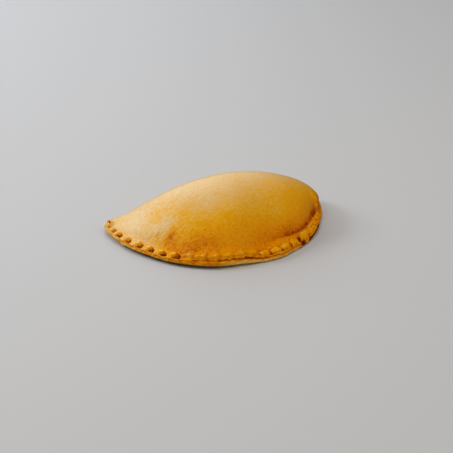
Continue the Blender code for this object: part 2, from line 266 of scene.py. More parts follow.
def rim_radius(angle):
    """Radius of the rim at an angle from the left tip; hand-cut dough is only roughly round."""
    wander = 1.5 * hump(angle, 4, 8) - 1.1 * hump(angle, 37, 14) + 0.6 * hump(angle, 75, 9)
    wander += 0.5 * hump(angle, 130, 12) - 0.4 * hump(angle, 90, 9) - 1.0 * hump(angle, 154, 12)
    wander += 1.2 * hump(angle, FRONT_RIGHT, 7) - 1.0 * smooth(166, 178, angle)
    return RIM_RADIUS + wander


def foot_depth(angle):
    """How far inside the rim the dome starts: wide and flat at the front right, narrow at the tips."""
    inner = FOOT_DEPTH + 0.7 * smooth(5, 30, angle) - 1.5 * between(60, 94, 5, angle)
    front_right = 5.0 * hump(angle, FRONT_RIGHT, 13) + 1.2 * hump(angle, FRONT_RIGHT, 7)
    inner += front_right + 1.6 * hump(angle, 128, 14)
    return inner - 1.6 * smooth(138, 160, angle) - 2.8 * smooth(152, 165, angle)


def contact_depth(angle):
    """How far inside the rim the underside meets the table: the rim sags at the front right."""
    return CONTACT_DEPTH - CONTACT_GAIN_AT_SAG * smooth(66, 100, angle) * (1.0 - smooth(110, 136, angle))


def lift(angle):
    """How far the rim's underside stands off the table: the left tip curls up, the front right sags."""
    return RIM_LIFT + LEFT_TIP_CURL * hump(angle, 0, 12) - FRONT_RIGHT_SAG * between(95, 135, 7, angle)


def along_rim(angle):
    """Distance from the left tip along the rim."""
    return math.radians(1.0) * RIM_RADIUS * angle


def rim_place(x, y):
    """The rim angle, 0 to 180, of any place in the plan, and its depth inside the rim."""
    angle = np.degrees(np.arctan2(-y, -x)) % 360.0
    angle = np.clip(np.where(angle > 270.0, 0.0, angle), 0.0, 180.0)
    return angle, rim_radius(angle) - np.hypot(x, y)


def crimp_angles():
    """The crimps' places: close together at the left tip, widest after it, then even."""
    angles = [FIRST_CRIMP]
    while angles[-1] < LAST_CRIMP:
        here = angles[-1]
        pitch = PITCH_AT_LEFT_TIP + (PITCH_OF_BEADS - PITCH_AT_LEFT_TIP) * smooth(9, 15, here)
        pitch -= (PITCH_OF_BEADS - PITCH_OF_TONGUES) * smooth(34, 62, here)
        widened = here + pitch + WIDER_AT_FRONT * hump(here, 84, 12)
        angles.append(widened - CLOSER_AT_RIGHT_TIP * hump(here, 176, 8))
    return np.array(angles)


CRIMPS = crimp_angles()
# four fixed random numbers for each crimp
CRIMP_CHANCE = np.random.default_rng(SEED).uniform(-1.0, 1.0, (4, len(CRIMPS)))


def fold_y(x):
    """The fold's outermost line, slightly bowed."""
    return FOLD_AT_TIPS + FOLD_BULGE * (1.0 - np.clip(np.abs(x) / FOLD_HALF_LENGTH, 0, 1) ** 2)


def tip_columns(side):
    """Columns round one tip, from the rim's direction to straight back. side is -1 left, 1 right."""
    turn = math.degrees(math.asin((TIP_ROUNDING - FOLD_AT_TIPS) / (RIM_RADIUS - TIP_ROUNDING)))
    rim_angle = turn if side < 0 else 180.0 - turn
    reach = rim_radius(rim_angle) - TIP_ROUNDING
    centre = np.array([side * reach * math.cos(math.radians(turn)), -reach * math.sin(math.radians(turn))])
    columns = []
    for step in range(TIP_COLUMNS + 1):
        share = step / TIP_COLUMNS
        heading = math.radians(-turn + (90.0 + turn) * share)
        outward = np.array([side * math.cos(heading), math.sin(heading)])
        angle = turn * (1.0 - share)
        angle = angle if side < 0 else 180.0 - angle
        columns.append((centre + TIP_ROUNDING * outward, outward, angle, 1.0 - smooth(0.2, 0.9, share)))
    return columns


def outline_columns():
    """Every column round the outline: its place, outward direction, rim angle and share of rim."""
    columns = []
    left_tip = tip_columns(-1)
    right_tip = tip_columns(1)
    start = left_tip[0][2]
    steps = np.arange(0.0, len(CRIMPS) - 1 + 1e-6, 1.0 / COLUMNS_PER_CRIMP)
    for angle in np.interp(steps, np.arange(len(CRIMPS)), CRIMPS):
        if start + 0.1 < angle < 179.9 - start:
            outward = np.array([-math.cos(math.radians(angle)), -math.sin(math.radians(angle))])
            columns.append((rim_radius(angle) * outward, outward, angle, 1.0))
    columns += right_tip
    right_x, left_x = right_tip[-1][0][0], left_tip[-1][0][0]
    for step in range(1, FOLD_COLUMNS):
        share = 0.5 * (step / FOLD_COLUMNS + 0.5 * (1.0 - math.cos(math.pi * step / FOLD_COLUMNS)))
        x = right_x + (left_x - right_x) * share
        slope = fold_y(x + 0.5) - fold_y(x - 0.5)
        outward = np.array([-slope, 1.0]) / math.hypot(slope, 1.0)
        columns.append((np.array([x, fold_y(x)]), outward, 180.0 * (1.0 - share), 0.0))
    columns += reversed(left_tip)
    place, outward, angle, rim_share = (np.array(item) for item in zip(*columns))
    return place, outward, angle, rim_share


# ---- dome ----


def length_profile(x):
    """Height of the filling along the turnover, 0 to 1: a long taper to the left, blunt at the right."""
    left = np.clip((PEAK_X - x) / (PEAK_X + DOME_LEFT_END), 0, 1)
    right = np.clip((x - PEAK_X) / (DOME_RIGHT_END - PEAK_X), 0, 1)
    return np.where(x < PEAK_X, (1 - left**2) ** LEFT_TAPER, (1 - right**2) ** RIGHT_FULLNESS)


def ridge_depth(x):
    """Distance from the fold in to the ridge."""
    return RIDGE_DEPTH_AT_TIPS + (RIDGE_DEPTH - RIDGE_DEPTH_AT_TIPS) * np.sqrt(length_profile(x))


def bend_height(x):
    """Height of the fold's outermost line above the table."""
    return FOLD_BEND_AT_TIPS + (FOLD_BEND_HEIGHT - FOLD_BEND_AT_TIPS) * length_profile(x) ** 0.6


def foot_y(x):
    """The line where the dome meets the crimped rim."""
    radius = np.full_like(x, RIM_RADIUS - CONTACT_DEPTH)
    for _ in range(3):
        angle = np.degrees(np.arccos(np.clip(-x / radius, -1, 1)))
        radius = rim_radius(angle) - foot_depth(angle)
    return -np.sqrt(np.maximum(radius**2 - x**2, 0.0))


def eased(rise, x):
    """Turns a dome's cut-off height into one that runs out in a fillet, tighter towards the right."""
    fillet = (FILLET - (FILLET - FILLET_AT_RIGHT) * smooth(15, 55, x)) * np.sqrt(length_profile(x))
    return 0.5 * (rise + np.sqrt(rise**2 + fillet**2))


def front_height(x, y):
    """The side of the dome that faces the rim, with the rim's flat top outside it."""
    rise = (DOME_TOP - LIP_TOP) * length_profile(x)
    ridge = fold_y(x) - ridge_depth(x)
    gap = ridge - foot_y(x)
    width = 0.5 * (gap + np.sqrt(gap**2 + LEAST_FLANK**2))
    across = np.maximum((ridge - y) / width, 0.0)
    fullness = FLANK_FULLNESS + 0.8 * smooth(10, 60, x) + 1.0 * smooth(58, 68, x)
    return LIP_TOP + eased(rise * (1.0 - across**fullness), x)


def back_height(x, depth):
    """The side that rolls over into the fold, by the depth inside the fold's outermost line."""
    rise = (DOME_TOP - LIP_TOP) * length_profile(x)
    top = LIP_TOP + eased(rise, x)
    across = np.clip(1.0 - depth / ridge_depth(x), 0, 1)
    bend = bend_height(x)
    return bend + (top - bend) * np.sqrt(1.0 - across**2)


def crust_height(x, y, depth):
    """Height of the crust over any place, by the depth inside the fold's outermost line."""
    return np.where(depth < ridge_depth(x), back_height(x, depth), front_height(x, y))


def valley(x, y):
    """A soft fold that runs down the flank at the left, where the filling starts."""
    return -VALLEY_DEPTH * streak(x, y, *VALLEY_LINE, VALLEY_WIDTH)


def swelling(x, y):
    """Low, wide unevenness from the filling underneath."""
    waves = np.sin(x / 11.0 + 0.8) * np.cos(y / 9.0 - 0.4) + np.sin((x + y) / 8.0) * 0.6
    return SWELLING * waves * np.sqrt(length_profile(x))


def skin_creases(x, y):
    """Short creases in the skin above the crimps at the left: depth of their grooves, 0 to 1."""
    grooves = 0.0
    for start, end, width, strength in CREASE_LINES:
        grooves = grooves + strength * streak(x, y, start, end, width)
    for place, size, strength in PUCKERS:
        grooves = grooves + strength * spot(x, y, place, size)
    return np.clip(grooves, 0.0, 1.0)


def crease_ridges(x, y):
    """The little ridges pushed up beside the creases."""
    ridge = streak(x, y, (-44.6, -39.4), (-49.6, -41.0), 0.55)
    return ridge + 0.6 * spot(x, y, (-51.6, -39.0), 1.0)


def skin_relief(x, y):
    """Fine unevenness of the baked skin: slanting brush marks, blisters and the creases."""
    slanted = rough_noise(0.5 * x + 0.87 * y, (0.87 * x - 0.5 * y) / 5.0, 1.6, SEED + 20)
    blisters = np.maximum(lattice_noise(x, y, 2.6, SEED + 30) - 0.35, 0.0)
    relief = BRUSH_RELIEF * slanted + BLISTER_RELIEF * blisters - CREASE_RELIEF * skin_creases(x, y)
    return relief + CREASE_RIDGE_RELIEF * crease_ridges(x, y)


# ---- rim relief ----


def crimp_index(angle):
    """Which crimp is nearest, and -0.5 to 0.5 across it, 0 on its crest."""
    steps = np.interp(angle, CRIMPS, np.arange(len(CRIMPS)))
    nearest = np.round(steps).astype(int)
    return nearest, steps - nearest


def chance(kind, nearest):
    """A fixed random number from -1 to 1 for each crimp."""
    return CRIMP_CHANCE[kind][nearest]


def beads(angle, depth):
    """Oval beads along the left of the rim: each climbs gently to the right and drops into a dent."""
    nearest, phase = crimp_index(angle)
    pitch = np.gradient(CRIMPS)[nearest] * math.radians(RIM_RADIUS)
    size = (0.60 + 0.40 * smooth(4, 24, angle)) * (1.0 + 0.07 * chance(0, nearest))
    along = phase * pitch - 0.3 * chance(1, nearest)
    across = depth - BEAD_DEPTH * (0.55 + 0.45 * smooth(2, 12, angle)) - 0.3 * chance(2, nearest)
    u = (along - BEAD_TURN * across) / (BEAD_HALF_LENGTH * size)
    v = (across + BEAD_TURN * along) / (BEAD_HALF_WIDTH * size)
    reach = np.hypot(u, v)
    skewed = np.where(u > BEAD_CREST, (u - BEAD_CREST) / (1.0 - BEAD_CREST), (u - BEAD_CREST) / 1.5)
    inner = 1.0 + 0.3 * smooth(0.0, 1.0, v)
    bead = BEAD_HEIGHT * size * np.maximum(1.0 - skewed**2 - (v / inner) ** 2, 0.0) ** 0.95
    right_side = smooth(-0.05, 0.85, (0.9 * u - 0.3 * v) / np.maximum(reach, 0.2))
    # the dent and the bead's right flank are darkened: browning and painted shade
    dent = hump(reach, 1.12, 0.26) * (0.02 + 0.98 * right_side)
    shaded = 0.16 * right_side * between(0.5, 1.25, 0.25, reach)
    darkened = np.maximum(dent * (0.6 + 0.4 * smooth(8, 16, angle)), shaded)
    return bead - DENT_DEPTH * size * dent, darkened


def tongue_corner(nearest, phase):
    """1 at each tongue's lower right corner, where it pushes out over the lower sheet."""
    return hump(phase, TONGUE_CORNER_PHASE + 0.04 * chance(1, nearest), TONGUE_CORNER_WIDTH)


def tongues(angle, depth):
    """Broad tongues along the front, each highest at its lower right corner, parted by small notches."""
    nearest, phase = crimp_index(angle)
    grown = smooth(58, 72, angle)
    body = smooth(2.2, 3.6, depth) * (1.0 - smooth(3.8 + 0.8 * grown, 5.5 + 4.0 * grown, depth))
    low_edge = 1.0 - smooth(3.4, 6.4, depth)
    arch = 1.0 - low_edge * np.abs(2.0 * phase) ** 2.4
    lean = 0.45 + 0.50 * arch + (0.10 + 0.40 * low_edge) * phase + 0.08 * chance(0, nearest)
    corner = tongue_corner(nearest, phase) * hump(depth, 3.3, 1.0)
    notch = hump(np.abs(phase), 0.5, 0.07) * (1.0 - smooth(2.8, 4.4, depth))
    notch = notch * (0.5 + 0.4 * chance(3, nearest))
    relief = TONGUE_HEIGHT * body * lean + TONGUE_CORNER_HEIGHT * corner - NOTCH_DEPTH * notch
    # the notches are darkened: browning and painted shade
    return relief, 0.6 * notch


def lobes(angle, depth):
    """Oval lobes side by side across the rim at the front right, lumpy like pressed dough."""
    nearest, phase = crimp_index(angle)
    arc = along_rim(angle)
    u = phase / 0.52
    v = (depth - 3.0 - 0.3 * chance(1, nearest)) / (3.0 + 0.5 * chance(2, nearest))
    lobe = np.maximum(1.0 - u**2 - v**2, 0.0) ** 0.6
    lumps = 0.34 * lattice_noise(arc, depth, 1.6, SEED + 40)
    lumps = lumps + 0.22 * lattice_noise(arc, depth, 0.8, SEED + 41)
    # the grooves between the lobes are darkened: browning and painted shade
    groove = hump(np.abs(phase), 0.5, 0.08) * between(0.6, 3.9, 0.7, depth)
    groove = groove * (0.7 + 0.3 * chance(3, nearest))
    band = smooth(0.3, 1.8, depth) * (1.0 - smooth(6.0, 9.0, depth))
    return LOBE_HEIGHT * lobe + lumps * band - groove, groove


def flap_bumps(angle, depth):
    """One smooth lobe right of the tear, then rough, irregular bumps with dark little pits."""
    arc = along_rim(angle)
    foot = foot_depth(angle)
    band = smooth(0.2, 1.2, depth) * (1.0 - smooth(0.60 * foot, 0.95 * foot, depth))
    band = band * (1.0 - 0.85 * smooth(156, 168, angle))
    calm = 1.0 - 0.8 * hump(angle, 129.5, 2.8)
    lobe = 1.2 * hump(angle, 129.4, 2.4) * hump(depth, 4.2, 2.6)
    lumps = lattice_noise(arc, depth, 2.0, SEED + 50) + 0.7 * lattice_noise(arc, depth, 0.9, SEED + 51)
    # the pits are darkened: browning and painted shade
    pits = np.maximum(-lattice_noise(arc, depth, 1.5, SEED + 52) - 0.4, 0.0) * 2.4
    return lobe + band * calm * (FLAP_LUMPS * lumps - FLAP_PITS * pits), np.clip(pits, 0, 1) * band * calm


def past_tear(angle, depth):
    """How far past the tear a place is, in degrees: the tear slants and hooks right at its inner end."""
    hook = TEAR_HOOK * smooth(4.2, 5.0, depth)
    jag = TEAR_JAG * np.sin(depth * 2.3 + 0.9)
    return angle - TEAR_ANGLE - TEAR_SLANT * depth - hook - jag


def tear_and_flap(angle, depth):
    """A slanting tear across the rim, with the flap on its right raised over it."""
    past = past_tear(angle, depth)
    flap = FLAP_HEIGHT * smooth(-0.1, 0.5, past) * (1.0 - smooth(8, 40, past))
    flap = flap * (1.0 - smooth(5.0, 7.5, depth))
    gash = hump(past, -0.35, TEAR_HALF_WIDTH) * (1.0 - smooth(4.9, 6.1, depth))
    return flap - TEAR_DEPTH * gash, gash


def flange(angle, depth):
    """The wide rim at the front right climbs inwards, up to the dome; the right tip swells a little."""
    climb = FLANGE_CLIMB * smooth(0.0, 9.0, depth) * (1.0 - smooth(9.0, 17.0, depth))
    tip = 0.7 * smooth(0.3, 2.0, depth) * (1.0 - smooth(2.0, 4.5, depth)) * hump(angle, 164, 6)
    return climb * hump(angle, 113, 16) + tip


def foot_groove(angle, depth):
    """The narrow groove at the dome's foot along the right, 0 to 1."""
    return hump(depth, foot_depth(angle) + 0.5, 0.9) * between(113, 162, 5, angle)


def droop(angle):
    """How far the rim's edge hangs down below its flat top: along the beads and right of the tear."""
    return EDGE_DROOP * (1.0 - smooth(52, 64, angle)) + FLAP_DROOP * smooth(124, 128, angle)


def rim_relief(angle, depth):
    """All that the crimping leaves on top of the rim: relief, and how far each place is darkened, 0 to 1, by
    browning and painted shade in dents, notches, grooves, pits and the tear.
    """
    to_tongues = smooth(*BEADS_TO_TONGUES, angle)
    to_lobes = smooth(*TONGUES_TO_LOBES, angle)
    to_flap = smooth(*LOBES_TO_FLAP, past_tear(angle, depth))
    shares = ((1.0 - to_tongues) * (1.0 - to_lobes), to_tongues * (1.0 - to_lobes), to_lobes)
    relief = 0.0
    dent_browning_and_shade = 0.0
    for share, form in zip(shares, (beads, tongues, lobes)):
        rise, dent = form(angle, depth)
        relief = relief + share * (1.0 - to_flap) * rise
        dent_browning_and_shade = dent_browning_and_shade + share * (1.0 - to_flap) * dent
    low_lobes, _ = lobes(angle, depth)
    bumps, holes = flap_bumps(angle, depth)
    tear, gash = tear_and_flap(angle, depth)
    relief = relief + to_flap * (0.15 * low_lobes + bumps) + tear + flange(angle, depth)
    relief = relief - droop(angle) * (1.0 - smooth(0.3, 3.0, depth))
    relief = relief - FOOT_GROOVE_DEPTH * foot_groove(angle, depth)
    dent_browning_and_shade = dent_browning_and_shade + to_flap * holes
    return relief, np.clip(np.maximum(dent_browning_and_shade, 1.2 * gash), 0.0, 1.0)


def left_tip(x, y):
    """The left tip's raised fold, with the dark little pit where the two sheets curl together."""
    raised = TIP_FOLD_HEIGHT * hump(x, -67.5, 5.0) * smooth(-10.0, -3.0, y)
    raised = raised * (1.0 - smooth(-62.0, -58.0, x))
    knob = KNOB_HEIGHT * spot(x, y, KNOB_PLACE, KNOB_RADIUS)
    return raised + knob - HOLE_DEPTH * spot(x, y, HOLE_PLACE, HOLE_RADIUS)


# ---- section ----


def rim_noise(angle, size, seed):
    """Noise that changes along the rim alone."""
    arc = along_rim(angle)
    return lattice_noise(arc, np.zeros_like(arc), size, seed)


def upper_setback(angle):
    """How far the upper sheet's edge stands back from the lower one's, most at the front."""
    nearest, phase = crimp_index(angle)
    front = between(64, 98, 3, angle)
    scallop = hump(np.abs(phase), 0.5, 0.14)
    ragged = 0.12 * rim_noise(angle, 3.0, SEED + 62) + 0.09 * rim_noise(angle, 1.1, SEED + 63)
    at_front = FRONT_SETBACK + 0.7 * scallop - 1.3 * tongue_corner(nearest, phase)
    return UPPER_SETBACK + ragged + front * at_front


def edge_waver(angle):
    """Small unevenness of the cut edge."""
    return 0.14 * rim_noise(angle, 5.0, SEED + 60) + 0.07 * rim_noise(angle, 1.3, SEED + 61)


def layers(angle, height):
    """Torn, flaky layers along the cut edge: longer than they are thick."""
    arc = along_rim(angle)
    coarse = 0.30 * lattice_noise(arc, height * 5.5, 3.6, SEED + 64)
    return coarse + 0.20 * lattice_noise(arc, height * 3.0, 1.2, SEED + 65)


def flake(angle):
    """The flake of lower dough that hangs out under the rim near the left tip, 0 to 1."""
    return hump(angle, FLAKE_ANGLE, FLAKE_HALF_WIDTH)


def rim_wall(angle):
    """Depth and height of each station from the table up the rim's edge: two sheets, rounded edges."""
    contact = contact_depth(angle)
    raised = lift(angle)
    waver = edge_waver(angle) + EDGE_INSET
    setback = upper_setback(angle)
    lower = LOWER_SHEET + 0.24 * rim_noise(angle, 2.7, SEED + 66)
    lower = lower + 0.6 * between(66, 96, 4, angle) - 0.4 * droop(angle)
    upper = LIP_TOP - RIM_LIFT - droop(angle) - lower
    stations = []
    for ring in range(UNDER_RINGS):
        share = ring / UNDER_RINGS
        depth = contact + (SHEET_ROUNDING - contact) * share
        stations.append((depth, raised * share * (0.9 + 0.1 * share) - 0.6 * flake(angle) * share**4))
    for ring in range(SHEET_RINGS + 1):
        turn = math.pi * ring / SHEET_RINGS
        height = lower * 0.5 * (1.0 - math.cos(turn))
        hang = flake(angle) * (0.5 + 0.5 * math.cos(turn)) ** 2
        depth = SHEET_ROUNDING * (1.0 - math.sin(turn)) + waver + layers(angle, height) * math.sin(turn)
        stations.append((depth - 0.5 * hang, raised + height - 0.5 * hang))
    for ring in range(1, SHEET_RINGS):
        turn = math.pi * ring / SHEET_RINGS
        nose = setback + SHEET_ROUNDING * (1.0 - math.sin(turn))
        ledge = SHEET_ROUNDING + (setback + SHEET_ROUNDING * 1.1 - SHEET_ROUNDING) * smooth(0.0, 0.35, turn)
        depth = np.where(turn < 0.5, ledge - 0.2 * math.sin(turn * 3.0), nose) + waver
        height = lower + upper * 0.5 * (1.0 - math.cos(turn))
        stations.append((depth + layers(angle, height) * math.sin(turn), raised + height))
    return stations


def fold_wall(x, count):
    """Depth and height of each station up the fold's bend: under it and a little way over it."""
    contact = FOLD_CONTACT * np.sqrt(np.clip(length_profile(x), 0.15, 1))
    bend = bend_height(x)
    stations = []
    under = count // 2
    for ring in range(count):
        if ring <= under:
            turn = 0.5 * math.pi * ring / under
            stations.append((contact * (1.0 - math.sin(turn)), bend * (1.0 - math.cos(turn))))
        else:
            depth = np.full_like(x, FOLD_OVERLAP * ((ring - under) / (count - 1 - under)) ** 2)
            stations.append((depth, back_height(x, depth)))
    return stations


def wall_stations(place, angle, rim_share):
    """Depth and height of each station up the outer wall: the rim's edge, blended into the fold's bend."""
    fold_share = 1.0 - rim_share
    rim = rim_wall(angle)
    fold = fold_wall(place[:, 0], len(rim))
    stations = []
    for (rim_depth, rim_height), (fold_depth, fold_height) in zip(rim, fold):
        depth = rim_share * rim_depth + fold_share * fold_depth
        stations.append((depth, rim_share * rim_height + fold_share * fold_height))
    return stations


# ---- skin, ring by ring ----


def skin_ring(flat, height, dent_browning_and_shade, crest, part):
    """One ring as rows of x, y, z and the marks: how darkened by browning and painted shade in dents, how
    raised, and which part it is on.
    """
    none = np.zeros(len(flat))
    return np.column_stack([flat, none + height, none + dent_browning_and_shade, none + crest, none + part])


def underside_rings(contact):
    """Rings of the flat underside, from its middle out to where it leaves the table."""
    middle = np.array([PEAK_X, PEAK_Y])
    rings = []
    for ring in range(1, BASE_RINGS):
        share = (ring / BASE_RINGS) ** 0.6
        rings.append(skin_ring(middle + (contact - middle) * share, 0.0, 0.0, 0.0, UNDERSIDE))
    return rings


def wall_rings(place, outward, angle, rim_share, stations):
    """Rings up the outer wall; the seam between the two sheets is darkened as painted shade, widest where it
    has cracked.
    """
    cracked = between(90, 103, 4, angle)
    rings = []
    for station, (depth, height) in enumerate(stations):
        # painted shade along the seam between the two sheets
        seam = hump(station, SEAM_RING, 1.6 + 1.6 * cracked)
        seam = seam * (0.45 + 0.60 * smooth(68, 76, angle) + 0.25 * cracked)
        flat = place - outward * depth[:, None]
        rings.append(skin_ring(flat, height, seam * rim_share**3, 0.0, station / (len(stations) - 1)))
    return rings


def top_rings(place, outward, angle, rim_share, wall_top, foot):
    """Rings from the top of the outer wall in over the crimps, or over the fold, to the dome's foot."""
    fold_share = 1.0 - rim_share
    tip_curl = lift(angle) - RIM_LIFT
    rings = []
    for ring in range(1, TOP_RINGS + 1):
        depth = wall_top + (foot - wall_top) * ring / TOP_RINGS
        flat = place - outward * depth[:, None]
        x, y = flat.T
        curl = tip_curl * (1.0 - smooth(3.0, 8.0, depth))
        relief, dent_browning_and_shade = rim_relief(angle, depth)
        inner = smooth(0.0, 1.0, ring / TOP_RINGS)
        behind = np.maximum(fold_y(x) - y, 0.0)
        over_lip = front_height(x, y) - LIP_TOP
        over_lip = over_lip * (1.0 - smooth(166, 176, angle) * (1.0 - smooth(0.2, 2.4, depth)))
        over_lip = over_lip + inner * np.minimum(back_height(x, behind) - LIP_TOP - over_lip, 0.0)
        on_rim = LIP_TOP + over_lip + relief + curl
        to_fold = np.where(fold_share == 1.0, behind, depth + (behind - depth) * inner)
        over_fold = crust_height(x, y, to_fold)
        height = rim_share * on_rim + fold_share * over_fold
        height = height + left_tip(x, y) + valley(x, y) + skin_relief(x, y)
        rings.append(skin_ring(flat, height, dent_browning_and_shade * rim_share, relief * rim_share, ON_TOP))
    return rings


def dome_rings(line):
    """Rings from the dome's foot in to its top; they are loosened, so that the crimps' waves fade."""
    middle = np.array([PEAK_X, PEAK_Y])
    rings = []
    for ring in range(1, DOME_RINGS):
        share = (ring / DOME_RINGS) ** 1.3
        for _ in range(LOOSENING):
            line = 0.5 * line + 0.25 * (np.roll(line, 1, axis=0) + np.roll(line, -1, axis=0))
        flat = line + (middle - line) * share
        x, y = flat.T
        relief, dent_browning_and_shade = rim_relief(*rim_place(x, y))
        on_rim = smooth(5, 12, -y)
        height = crust_height(x, y, fold_y(x) - y)
        height = height + relief * on_rim + left_tip(x, y) + valley(x, y) + skin_relief(x, y)
        height = height + swelling(x, y) * smooth(0, 0.5, share)
        rings.append(skin_ring(flat, height, dent_browning_and_shade * on_rim, relief * on_rim, ON_TOP))
    return rings


def skin_rings():
    """The whole skin as rings of points with their marks, from under the middle to the dome's top."""
    place, outward, angle, rim_share = outline_columns()
    stations = wall_stations(place, angle, rim_share)
    contact = place - outward * stations[0][0][:, None]
    on_fold = 5.0 + 4.0 * smooth(0, 24, 66 - np.abs(place[:, 0]))
    foot = rim_share * foot_depth(angle) + (1.0 - rim_share) * on_fold
    rings = underside_rings(contact)
    rings += wall_rings(place, outward, angle, rim_share, stations)
    rings += top_rings(place, outward, angle, rim_share, stations[-1][0], foot)
    return rings + dome_rings(place - outward * foot[:, None])


# ---- browning, with painted shade and highlights: 0 is pale dough, 1 dark brown ----

PALEST = 0.10
RIDGE_BROWNING = 0.15
BROWNING_PER_MM = 0.0105
RIM_BROWNING = 0.20
EDGE_BROWNING = 0.62
EDGE_GRAIN = 0.22
# darkening in dents, notches, grooves, pits, the tear and the seam: browning and painted shade
DENT_BROWNING_AND_SHADE = 0.34
BEAD_DENT_BROWNING_AND_SHADE = 0.75
# painted shade in the skin's little creases
CREASE_SHADE = 0.4
KNOB_BROWNING = 0.30
SCORCH_BROWNING = 0.45
# uneven baking of the dome, with painted shade and painted highlights among them: x, y, size and how much
# darker
BLOTCHES_AND_PAINTED_LIGHT = (
    (-40.4, -51.2, 3.2, 0.10),
    (-40.0, -48.5, 6.0, 0.12),
    (-36.5, -56.5, 4.5, 0.16),
    (-30.0, -58.5, 5.0, 0.13),
    (-24.0, -59.5, 4.5, 0.07),
    (2.5, -35.5, 10.0, -0.075),
    (-12.0, -41.5, 6.0, -0.05),
    (30.0, -47.5, 6.0, -0.07),
    (-45.5, -27.5, 6.0, 0.06),
    (-30.5, -36.5, 5.0, 0.09),
    (13.0, -60.0, 7.0, 0.05),
    (-21.0, -56.0, 7.0, 0.06),
    (50.0, -21.0, 9.0, -0.03),
    (60.0, -25.0, 6.0, 0.05),
    (8.0, -20.0, 9.0, 0.035),
    (-18.0, -26.0, 7.0, -0.035),
    (-14.0, -37.0, 7.0, -0.035),
    (-36.0, -29.0, 7.0, 0.04),
    (-41.0, -21.0, 7.0, 0.05),
    (-41.0, -37.5, 5.5, -0.17),
    (-16.5, -62.8, 4.5, 0.08),
    (-21.0, -36.0, 5.0, 0.04),
    (-16.0, -33.0, 14.0, -0.085),
    (-49.5, -36.0, 6.0, -0.13),
    (-46.0, -29.5, 7.0, 0.08),
    (-55.0, -25.5, 6.0, -0.08),
    (-61.0, -19.0, 6.0, -0.05),
    (-49.5, -40.8, 4.0, 0.09),
    (-43.0, -46.5, 4.0, 0.07),
    (18.0, -58.0, 6.0, 0.05),
    (-46.0, -16.0, 8.0, 0.04),
    (30.0, -56.0, 7.0, 0.09),
    (33.0, -35.0, 14.0, 0.05),
    (67.0, -20.0, 12.0, 0.05),
    (36.0, -52.0, 7.0, 0.07),
)
# charred specks on the rim: rim angle, depth inside the rim and size
BURNT_SPECKS = (
    (152.1, 0.4, 0.8),
    (165.1, 0.9, 0.7),
    (145.0, 4.0, 0.7),
    (146.7, 2.0, 1.0),
    (132.3, 1.5, 0.6),
    (131.7, 2.7, 0.6),
)
BURNT_SPECK = 0.5
BURNT_HOLE = 0.9
BURNT_TEAR = 0.5
# painted shadow: how near black the rim's underside edge is made at the left and the front
PAINTED_SHADOW_UNDER_EDGE = 0.92


def dome_browning_and_painted_light(x, y, z, angle, depth):
    """Browning before the crimps: more to the front and the right, most at the dome's foot; paler on top,
    partly painted sheen.
    """
    arc = along_rim(angle)
    # paler towards the top: partly lighter baking, partly painted sheen
    level = np.maximum(RIDGE_BROWNING + BROWNING_PER_MM * (PEAK_Y - y), PALEST)
    level = level + 0.18 * smooth(25, 55, x) * (1.0 - smooth(30, 60, -y)) + 0.15 * smooth(58, 70, -x)
    level = level - 0.04 * smooth(20, 50, -x) + 0.22 * smooth(0, 3, y)
    # along the dome's foot at the right: browning and painted shade in the crease, with a wider, fainter
    # band above it
    along = smooth(98, 124, angle) * (1.0 - smooth(158, 174, angle))
    patchy = 1.0 - smooth(150, 166, angle)
    baked = 0.26 + 0.02 * hump(angle, 153.5, 6.0) + 0.08 * patchy * lattice_noise(arc, depth, 2.5, SEED + 70)
    spread = 1.6 + 2.4 * hump(angle, 152.0, 9.0) + 0.5 * patchy * lattice_noise(arc, depth, 4.0, SEED + 71)
    climb = np.maximum(z - LIP_TOP - 1.0, 0.0)
    inside = smooth(-2.4, 0.6, depth - foot_depth(angle))
    level += along * inside * (baked * hump(climb, 0.0, spread) + 0.12 * hump(climb, 3.0, 7.0))
    # painted shade in the soft valley at the left and in the skin's little creases
    level += 0.18 * spot(x, y, (-39.9, -44.7), 3.0) + CREASE_SHADE * skin_creases(x, y)
    level += 0.08 * streak(x, y, (-33.5, -43.2), (-46.5, -46.8), 2.2)
    for blotch_x, blotch_y, size, amount in BLOTCHES_AND_PAINTED_LIGHT:
        level += amount * spot(x, y, (blotch_x, blotch_y), size)
    return level


def crimp_browning_and_highlights(level, on_rim, angle, depth, crest):
    """Adds the crimps: at least as brown as the rim is there, with paler crests, partly painted highlight,
    and painted highlights at the tongues' corners.
    """
    least = RIM_BROWNING + 0.07 * smooth(10, 20, angle) + 0.16 * smooth(28, 46, angle)
    level = level + on_rim * np.maximum(least - level, 0.0) + 0.03 * on_rim * smooth(58, 75, angle)
    # painted highlight: the beads' crests are paler
    level -= 0.11 * on_rim * (1.0 - smooth(35, 45, angle)) * np.clip(crest - 0.5, 0.0, 2.0)
    on_lobes = on_rim * smooth(97, 100, angle)
    # the lobes' tops are paler: partly lighter baking, partly painted highlight
    tops = np.clip(1.4 * (crest - 1.0), 0.0, 1.0) * (1.0 - smooth(118, 126, angle))
    mottled = 0.12 * lattice_noise(along_rim(angle), depth, 1.3, SEED + 72)
    level += on_lobes * (mottled - 0.22 * tops + 0.04)
    # paler crests right of the tear, partly painted highlight
    level -= 0.10 * on_lobes * smooth(122, 128, angle) * np.clip(crest - 0.6, 0.0, 2.0)
    # painted highlights at the tongues' lower right corners; the tongues' crests are paler, partly painted
    # highlight
    corners = tongue_corner(*crimp_index(angle)) * hump(depth, 2.9, 1.0)
    paler = 0.14 * np.clip(crest - 0.9, 0.0, 2.0) + 0.13 * corners
    return level - on_rim * between(60, 96, 4, angle) * paler


def edge_grain(angle, wall):
    """Light and dark layers along the cut edge, about -1 to 1."""
    arc = along_rim(angle)
    coarse = 0.5 * lattice_noise(arc, wall * 14.0, 3.2, SEED + 73)
    return coarse + 0.5 * lattice_noise(arc, wall * 9.0, 1.3, SEED + 74)


